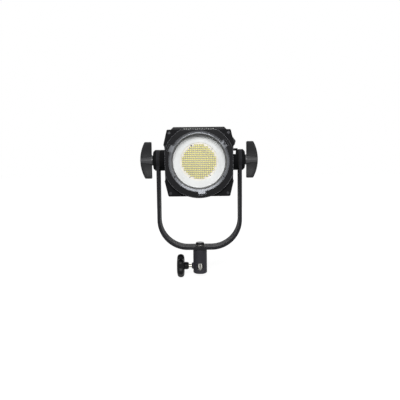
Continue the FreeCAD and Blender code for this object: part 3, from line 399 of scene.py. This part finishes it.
# The rim's radius follows a cosine of six lobes, raised to a power below one so that the lobes are
# broad and the dips narrow. Across the thickness the rim is a superellipse, so both faces stay flat
# and the edge is round. Rows run from the hub's end over the inner face and rim to the dished face.
def buildClampKnob():
    low, high = corners("clamp_knob")
    z = middle("clamp_knob", 2)
    radius = (high[2] - low[2]) / 2
    half = knob["thick"] / 2
    inner = low[0] + knob["thick"]
    centre = low[0] + half
    hub = knob["hubRadius"]
    turns = np.linspace(0, 2 * math.pi, knob["around"], endpoint=False)[None, :]
    wave = 0.5 - 0.5 * np.cos(knob["lobes"] * turns)
    rim = radius - knob["dip"] * (1 - wave ** knob["sharpness"])
    hubX = [high[0] - back for back, inset in knob["hubEnd"]]
    hubX += [inner + ahead for ahead, flare in knob["hubFoot"]]
    hubR = [hub - inset for back, inset in knob["hubEnd"]]
    hubR += [hub + flare for ahead, flare in knob["hubFoot"]]
    sweep = np.radians(np.linspace(-90, 90, knob["rows"]))[:, None]
    across = np.sign(sweep) * np.abs(np.sin(sweep)) ** knob["faceFlat"]
    out = np.abs(np.cos(sweep)) ** knob["edgeRound"]
    reach = knob["flatRadius"] + (rim - knob["flatRadius"]) * out
    x = centre - half * across + 0 * turns
    rimGrid = np.stack([x, reach * np.cos(turns), z + reach * np.sin(turns)], axis=-1)
    dishX = [low[0] + knob["dishSet"], low[0] + knob["dish"], low[0] + knob["dish"]]
    dishR = [knob["dishRadius"] + knob["dishLip"], knob["dishRadius"], knob["dishCore"]]
    hubGrid = turnedAboutX(hubX, hubR, z, turns)
    dishGrid = turnedAboutX(dishX, dishR, z, turns)
    grid = np.concatenate([hubGrid, rimGrid, dishGrid])
    grip = addSkin("clampKnobGrip", grid, "knob", "plastic_black", "clamp")
    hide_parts("clamp_knob")


# Tilt handles

handle = {"neck": 0.0040, "tip": 0.0155, "thick": 0.0150, "waist": 0.0052, "stem": 0.0117,
          "stemEnd": 0.0066, "nose": 0.0022, "noseSet": 0.0003, "noseFrom": 15, "noseRows": 6,
          "coneFrom": 0.08, "coneRows": 16, "neckSteps": [(0.0, 0.0015), (0.0004, 0.0004), (0.0012, 0.0)],
          "endRound": 0.0018, "tipTaper": 0.6, "swell": 0.0112, "shoulder": 0.0058, "lean": 0.28,
          "squareness": 0.32, "spread": 1.25, "tipBlend": 1.6, "rows": 97, "around": 72,
          "stemAround": 96}


# Rows run up the T. Each is a rounded box section, a superellipse, whose outer edge follows the
# circle of the bowed back. Its depth swells as a bell curve at the stem, thickens again towards the
# tips, and narrows towards the bowed edge.
def handleGrip(half, crest):
    turns = np.linspace(0, 2 * math.pi, handle["around"], endpoint=False)[None, :]
    t = np.linspace(-1, 1, handle["rows"])[:, None]
    h = np.sign(t) * (1 - (1 - np.abs(t)) ** handle["spread"])
    z = h * half
    sagitta = crest - handle["tip"]
    bow = (half ** 2 + sagitta ** 2) / (2 * sagitta)
    outer = crest - (bow - np.sqrt(bow ** 2 - z ** 2))
    end = np.clip((np.abs(z) - (half - handle["endRound"])) / handle["endRound"], 0, 1)
    pinch = (np.sqrt(1 - end ** 2) - 1) * handle["endRound"]
    tips = 0.5 - 0.5 * np.cos(math.pi * np.abs(h) ** handle["tipBlend"])
    depth = handle["waist"] + (handle["thick"] / 2 - handle["waist"]) * tips
    depth = depth + (handle["shoulder"] - handle["waist"]) * np.exp(-((z / handle["swell"]) ** 2))
    depth = depth + pinch
    middleX = outer / 2
    halfX = outer / 2 + pinch * handle["tipTaper"]
    cosine, sine = np.cos(turns), np.sin(turns)
    power = handle["squareness"]
    x = middleX + halfX * np.sign(cosine) * np.abs(cosine) ** power
    narrow = 1 - handle["lean"] * (0.5 + 0.5 * cosine)
    y = depth * narrow * np.sign(sine) * np.abs(sine) ** power
    return np.stack([x, y, z + 0 * turns], axis=-1)


# The stem is turned: a chamfered neck, a cone that narrows outwards, and a quarter-round nose.
def handleStem(crest):
    neck, nose, stem = handle["neck"], handle["nose"], handle["stem"]
    reach = crest - handle["noseSet"] - nose
    t = np.linspace(handle["coneFrom"], 1.0, handle["coneRows"])
    a = np.radians(np.linspace(handle["noseFrom"], 90, handle["noseRows"]))
    neckX = [along - neck for along, inset in handle["neckSteps"]] + [0.0]
    neckR = [stem - inset for along, inset in handle["neckSteps"]] + [stem]
    cone = stem + (handle["stemEnd"] - stem) * t
    xs = np.concatenate([neckX, t * reach, reach + nose * np.sin(a)])
    radii = np.concatenate([neckR, cone, handle["stemEnd"] - nose + nose * np.cos(a)])
    turns = np.linspace(0, 2 * math.pi, handle["stemAround"], endpoint=False)[None, :]
    return turnedAboutX(xs, radii, 0.0, turns)


def buildHandles():
    low, high = corners("tilt_handle_right")
    inner = low[0] + handle["neck"]
    half = (high[2] - low[2]) / 2
    crest = high[0] - inner
    for side, name in ((-1, "left"), (1, "right")):
        for part, grid in (("Grip", handleGrip(half, crest)), ("Stem", handleStem(crest))):
            grid = grid + [inner, 0, place["pivotZ"]]
            grid = grid * [side, 1, 1]
            finish = part.lower()
            piece = addSkin(name + "Handle" + part, grid, finish, "plastic_black", "handle_" + name)
            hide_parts("tilt_handle_" + name)


buildClampKnob()
buildHandles()
print("knob and handles")


# Light engine

array = {"rows": 17, "pitch": 0.00425, "size": 0.0032, "wall": 0.0003, "dome": 0.00018,
         "cornerPull": 0.06, "stepOut": 0.35, "substrate": 0.0004}


# centres of the chips: a square lattice cut to a stepped circle
def chipPlaces():
    middleRow = (array["rows"] - 1) / 2
    steps = np.arange(array["rows"]) - middleRow
    x, z = np.meshgrid(steps, steps)
    inside = np.hypot(x, z) <= middleRow + array["stepOut"]
    return x[inside] * array["pitch"], z[inside] * array["pitch"]


# Each chip is a rounded square pillow: a steep wall, then a crown that falls off with the fourth
# power of the distance from its middle. One pillow's grid is repeated at every place at once.
def buildChips():
    board = corners("led_array")[1][1]
    front = board - array["substrate"]
    steps = np.array([-1, -0.985, -0.9, -0.6, 0, 0.6, 0.9, 0.985, 1])
    n = len(steps)
    u, v = (g.ravel() for g in np.meshgrid(steps, steps, indexing="ij"))
    crown = (1 - u ** 4) * (1 - v ** 4)
    squeeze = 1 - array["cornerPull"] * np.abs(u * v) ** 3
    inside = np.maximum(np.abs(u), np.abs(v)) < 1
    depth = inside * (array["wall"] + array["dome"] * crown)
    half = array["size"] / 2
    xs, zs = chipPlaces()
    x = xs[:, None] + half * (u * squeeze)[None, :]
    z = zs[:, None] + half * (v * squeeze)[None, :] + place["axisZ"]
    y = front - depth[None, :] + 0 * x
    each = n * n * np.arange(len(xs))
    quads = gridFaces(n, n, closed=False)[None] + each[:, None, None]
    index = np.arange(n * n).reshape(n, n)
    rim = np.concatenate([index[:-1, 0], index[-1, :-1], index[:0:-1, -1], index[0, :0:-1]])
    faces = quads.reshape(-1, 4).tolist() + (rim[None] + each[:, None]).tolist()
    chips = addPiece("ledChips", np.stack([x, y, z], axis=-1), faces, "phosphor", "chips", "head")
    step = array["pitch"] / 2
    rowZ = np.unique(zs)
    rowX = np.array([xs[zs == level].max() for level in rowZ])
    lows = np.stack([-rowX - step, 0 * rowZ + front, rowZ + place["axisZ"] - step], axis=-1)
    highs = np.stack([rowX + step, 0 * rowZ + board, rowZ + place["axisZ"] + step], axis=-1)
    plate = addPiece("ledSubstrate", *boxes(lows, highs), "substrate", "chips", "head", smooth=False)
    for piece in (chips, plate):
        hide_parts("led_array")


# small dark solder pads beside the chips: across, up and half size, from the lamp axis
pads = {"places": [(-0.0160, 0.0335, 0.0014), (-0.0195, 0.0290, 0.0009), (0.0275, 0.0258, 0.0009),
                   (-0.0197, -0.0330, 0.0009), (0.0232, -0.0295, 0.0009)],
        "proud": 0.0004, "sunk": 0.0001}


def buildPads():
    front = corners("led_board")[0][1]
    x, z, half = np.array(pads["places"]).T
    lows = np.stack([x - half, 0 * x + front - pads["proud"], z + place["axisZ"] - half], axis=-1)
    highs = np.stack([x + half, 0 * x + front + pads["sunk"], z + place["axisZ"] + half], axis=-1)
    addPiece("solderPads", *boxes(lows, highs), "pad", "board_white", "head", smooth=False)


buildChips()
buildPads()
print("light engine")


# Wire cloth behind the vents

cloth = {"pitch": 0.0009, "wire": 0.00018, "behind": 0.0005}


# Two layers of straight rods, one pitch apart and square to each other, fill a rectangle.
def clothRods(first, second, level, axes):
    a, b, c = axes
    alongA = np.arange(first[0], first[1], cloth["pitch"])
    alongB = np.arange(second[0], second[1], cloth["pitch"])
    starts = np.zeros((len(alongA) + len(alongB), 3))
    ends = np.zeros_like(starts)
    cut = len(alongA)
    starts[:cut, a] = ends[:cut, a] = alongA
    starts[:cut, b], ends[:cut, b] = second[0], second[1]
    starts[cut:, b] = ends[cut:, b] = alongB
    starts[cut:, a], ends[cut:, a] = first[0], first[1]
    starts[:cut, c] = ends[:cut, c] = level - cloth["wire"] / 2
    starts[cut:, c] = ends[cut:, c] = level + cloth["wire"] / 2
    return rods(starts, ends, cloth["wire"], sides=4)


roofCloth = {"half": 0.0335, "wall": 0.0022, "low": 0.0023, "high": 0.0018}


def buildRoofCloth():
    low, high = corners("roof_cover")
    level = low[1] + roofCloth["wall"] + cloth["behind"]
    rows = (low[2] + roofCloth["low"], high[2] - roofCloth["high"])
    shape = clothRods((-roofCloth["half"], roofCloth["half"]), rows, level, (0, 2, 1))
    addPiece("roofWireCloth", *shape, "wire", "aluminium", "head")


sideCloth = {"behind": 0.0040, "reach": 0.0190, "low": -0.0315, "high": 0.0255,
             "centres": (-0.0480, 0.0620)}


# One panel of cloth behind each block of upright slots, inside both side walls.
def buildSideCloths():
    rows = (place["axisZ"] + sideCloth["low"], place["axisZ"] + sideCloth["high"])
    for side, name in ((-1, "housing_left"), (1, "housing_right")):
        low, high = corners(name)
        wall = low[0] if side < 0 else high[0]
        level = wall - side * sideCloth["behind"]
        for i, centre in enumerate(sideCloth["centres"]):
            along = (centre - sideCloth["reach"], centre + sideCloth["reach"])
            shape = clothRods(along, rows, level, (1, 2, 0))
            addPiece(f"{name}_cloth_{i + 1}", *shape, "darkWire", "steel", "head")


buildRoofCloth()
buildSideCloths()
print("wire cloth")


# Rear panel marks and contacts

scale = {"ticks": 11, "sweep": 270, "inner": 0.0126, "outer": 0.0141, "wide": 0.00045, "raised": 0.00006}


# Radial ticks: a short bar of four corners per tick, turned about the dial and given a thickness.
def buildDialScale(side):
    low, high = corners("dial_" + side)
    centre = (low + high) / 2
    turn = np.radians(90 + np.linspace(-scale["sweep"] / 2, scale["sweep"] / 2, scale["ticks"]))
    along = np.stack([np.cos(turn), 0 * turn, np.sin(turn)], axis=-1)
    across = np.stack([-np.sin(turn), 0 * turn, np.cos(turn)], axis=-1) * scale["wide"] / 2
    face = np.array([centre[0], place["panelY"], centre[2]])
    lift = np.array([0, scale["raised"], 0])
    rims = [along * r + across * s + face for r, s in
            ((scale["inner"], -1), (scale["outer"], -1), (scale["outer"], 1), (scale["inner"], 1))]
    points = np.stack([p - lift for p in rims] + [p + lift for p in rims], axis=1)
    sides = np.array([(0, 1, 2, 3), (4, 7, 6, 5), (0, 4, 5, 1), (1, 5, 6, 2), (2, 6, 7, 3), (3, 7, 4, 0)])
    faces = sides[None] + 8 * np.arange(len(turn))[:, None, None]
    addPiece("dialScale_" + side, points, faces.reshape(-1, 4).tolist(), "print", "plastic_black", "head",
             smooth=False)


switchMarks = {"x": 0.0120, "up": 0.0045, "bar": 0.0032, "ring": 0.0016, "line": 0.0003, "raised": 0.00006}


# The on mark is an upright bar and the off mark a flat ring, with four rows round its section.
def buildSwitchMarks():
    z = middle("power_rocker", 2)
    x, lift, line = switchMarks["x"], switchMarks["raised"], switchMarks["line"]
    y = place["panelY"]
    top = z + switchMarks["up"]
    low = np.array([[x - line, y - lift, top - switchMarks["bar"] / 2]])
    high = np.array([[x + line, y + lift, top + switchMarks["bar"] / 2]])
    addPiece("onMark", *boxes(low, high), "print", "plastic_black", "head", smooth=False)
    turns = np.linspace(0, 2 * math.pi, 48, endpoint=False)[:, None]
    reach = switchMarks["ring"] + line * np.array([[-1, 1, 1, -1]])
    deep = lift * np.array([[-1, -1, 1, 1]])
    points = np.stack([x + reach * np.cos(turns), y + deep + 0 * turns,
                       z - switchMarks["up"] + reach * np.sin(turns)], axis=-1)
    points = np.concatenate([points, points[:1]])
    faces = gridFaces(len(points), 4) % (4 * (len(points) - 1))
    addPiece("offMark", points[:-1], faces.tolist(), "print", "plastic_black", "head", smooth=False)


contacts = {"count": 8, "pitch": 0.00102, "wire": 0.00022, "rear": 0.0030, "front": 0.0015, "drop": 0.0030,
            "ceiling": 0.0016}


# Spring wires slant down from the ceiling of each data socket towards its back wall.
def buildPortContacts(name):
    low, high = corners(name)
    offsets = (np.arange(contacts["count"]) - (contacts["count"] - 1) / 2) * contacts["pitch"]
    x = (low[0] + high[0]) / 2 + offsets
    ceiling = high[2] - contacts["ceiling"]
    starts = np.stack([x, 0 * x + high[1] - contacts["front"], 0 * x + ceiling], axis=-1)
    ends = np.stack([x, 0 * x + low[1] + contacts["rear"], 0 * x + ceiling - contacts["drop"]], axis=-1)
    addPiece(name + "Contacts", *rods(starts, ends, contacts["wire"]), "brass", "copper", "head")


pins = {"count": 3, "circle": 0.0032, "radius": 0.00098, "long": 0.00362, "drop": 0.0006}


# Brass sleeves over the three pins of the inlet, each a short rod.
def buildInletPins():
    z = middle("power_inlet", 2) - pins["drop"]
    turn = np.radians(90 + 360 / pins["count"] * np.arange(pins["count"]))
    x, up = pins["circle"] * np.cos(turn), z + pins["circle"] * np.sin(turn)
    starts = np.stack([x, 0 * x + place["panelY"], up], axis=-1)
    ends = starts + [0, pins["long"], 0]
    addPiece("inletPins", *rods(starts, ends, pins["radius"], sides=20), "brass", "copper", "head")


for side in ("left", "right"):
    buildDialScale(side)
buildSwitchMarks()
for name in ("data_port", "service_port"):
    buildPortContacts(name)
buildInletPins()
print("rear panel marks and contacts")


# Room, lamps and camera

room = {"size": 12.0, "floorZ": -0.0125, "near": 0.30, "far": 0.90, "nearGlow": 0.93, "fill": 0.07}


# 1 for what the camera, a gloss or a clear piece sees, and 0 for what lights a surface
def straightRay(tree):
    path = addNode(tree, "ShaderNodeLightPath").outputs
    seen = path["Is Camera Ray"]
    for kind in ("Is Glossy Ray", "Is Transmission Ray"):
        seen = addNode(tree, "ShaderNodeMath", {0: seen, 1: path[kind]}, operation="MAXIMUM").outputs[0]
    return seen


# Matt white floor that glows for the camera, a little less near the object, so that the faint
# shadow stays.
def studioFloor():
    mat, tree, shader, coords = startMaterial("white studio floor")
    tone = noise(tree, coords, 400.0, 2.0)
    tree.links.new(ramp(tree, tone, [(0.3, "#747474"), (0.7, "#767676")]), shader.inputs["Base Color"])
    shader.inputs["Roughness"].default_value = 0.9
    shader.inputs["Specular IOR Level"].default_value = 0.0
    away = vectorMath(tree, "LENGTH", coords).outputs["Value"]
    glow = span(tree, away, room["nearGlow"], 1.0, room["near"], room["far"])
    seen = straightRay(tree)
    strength = addNode(tree, "ShaderNodeMath", {0: glow, 1: seen}, operation="MULTIPLY")
    tree.links.new(strength.outputs[0], shader.inputs["Emission Strength"])
    shader.inputs["Emission Color"].default_value = (1, 1, 1, 1)
    return mat


def buildRoom():
    half = room["size"] / 2
    mesh = bpy.data.meshes.new("floor")
    edge = [(-half, -half), (half, -half), (half, half), (-half, half)]
    mesh.from_pydata([(x, y, room["floorZ"]) for x, y in edge], [], [(0, 1, 2, 3)])
    mesh.materials.append(studioFloor())
    floor = bpy.data.objects.new("floor", mesh)
    bpy.context.collection.objects.link(floor)
    world = bpy.data.worlds.new("studio")
    bpy.context.scene.world = world
    world.use_nodes = True
    tree = world.node_tree
    tree.nodes.clear()
    output = addNode(tree, "ShaderNodeOutputWorld")
    seen = straightRay(tree)
    paper = addNode(tree, "ShaderNodeBackground", {"Color": (1, 1, 1, 1), "Strength": 1.0})
    fill = addNode(tree, "ShaderNodeBackground", {"Color": (0.97, 0.98, 1, 1), "Strength": room["fill"]})
    mix = addNode(tree, "ShaderNodeMixShader", {0: seen, 1: fill.outputs[0], 2: paper.outputs[0]})
    tree.links.new(mix.outputs[0], output.inputs["Surface"])


# name, place, size across and up, and watts
lamps = [
    ("key softbox", (0.0, -1.25, 0.70), (0.7, 0.30), 13),
    ("top softbox", (0.0, -0.10, 1.30), (0.9, 0.9), 2.5),
    ("left softbox", (-0.80, -1.20, 0.42), (0.3, 0.5), 1.3),
    ("right softbox", (0.80, -1.20, 0.42), (0.3, 0.5), 1.5),
    ("rear softbox", (0.0, 1.40, 0.80), (1.2, 0.6), 6),
]


def buildLamps():
    target = Vector((0, 0, 0.25))
    for name, spot, size, watts in lamps:
        lamp = bpy.data.lights.new(name, "AREA")
        lamp.shape = "RECTANGLE"
        lamp.size, lamp.size_y = size
        lamp.energy = watts
        obj = bpy.data.objects.new(name, lamp)
        obj.location = spot
        obj.rotation_euler = (target - Vector(spot)).to_track_quat("-Z", "Y").to_euler()
        bpy.context.collection.objects.link(obj)


shot = {"distance": 0.95, "aside": 0.0012, "pitch": 5.53, "roll": -0.6, "lens": 37.25, "sensor": 36,
        "nearest": 0.02}


def buildCamera():
    cam = bpy.data.cameras.new("camera")
    cam.lens = shot["lens"]
    cam.sensor_width = shot["sensor"]
    cam.clip_start = shot["nearest"]
    obj = bpy.data.objects.new("camera", cam)
    look = Euler((math.radians(90 - shot["pitch"]), 0, 0)).to_matrix()
    look = look @ Matrix.Rotation(math.radians(shot["roll"]), 3, "Z")
    obj.location = (shot["aside"], -shot["distance"], place["pivotZ"])
    obj.rotation_euler = look.to_euler()
    bpy.context.collection.objects.link(obj)
    bpy.context.scene.camera = obj


buildRoom()
buildLamps()
buildCamera()
bpy.context.scene.view_settings.view_transform = "Standard"
print("room, lamps and camera")
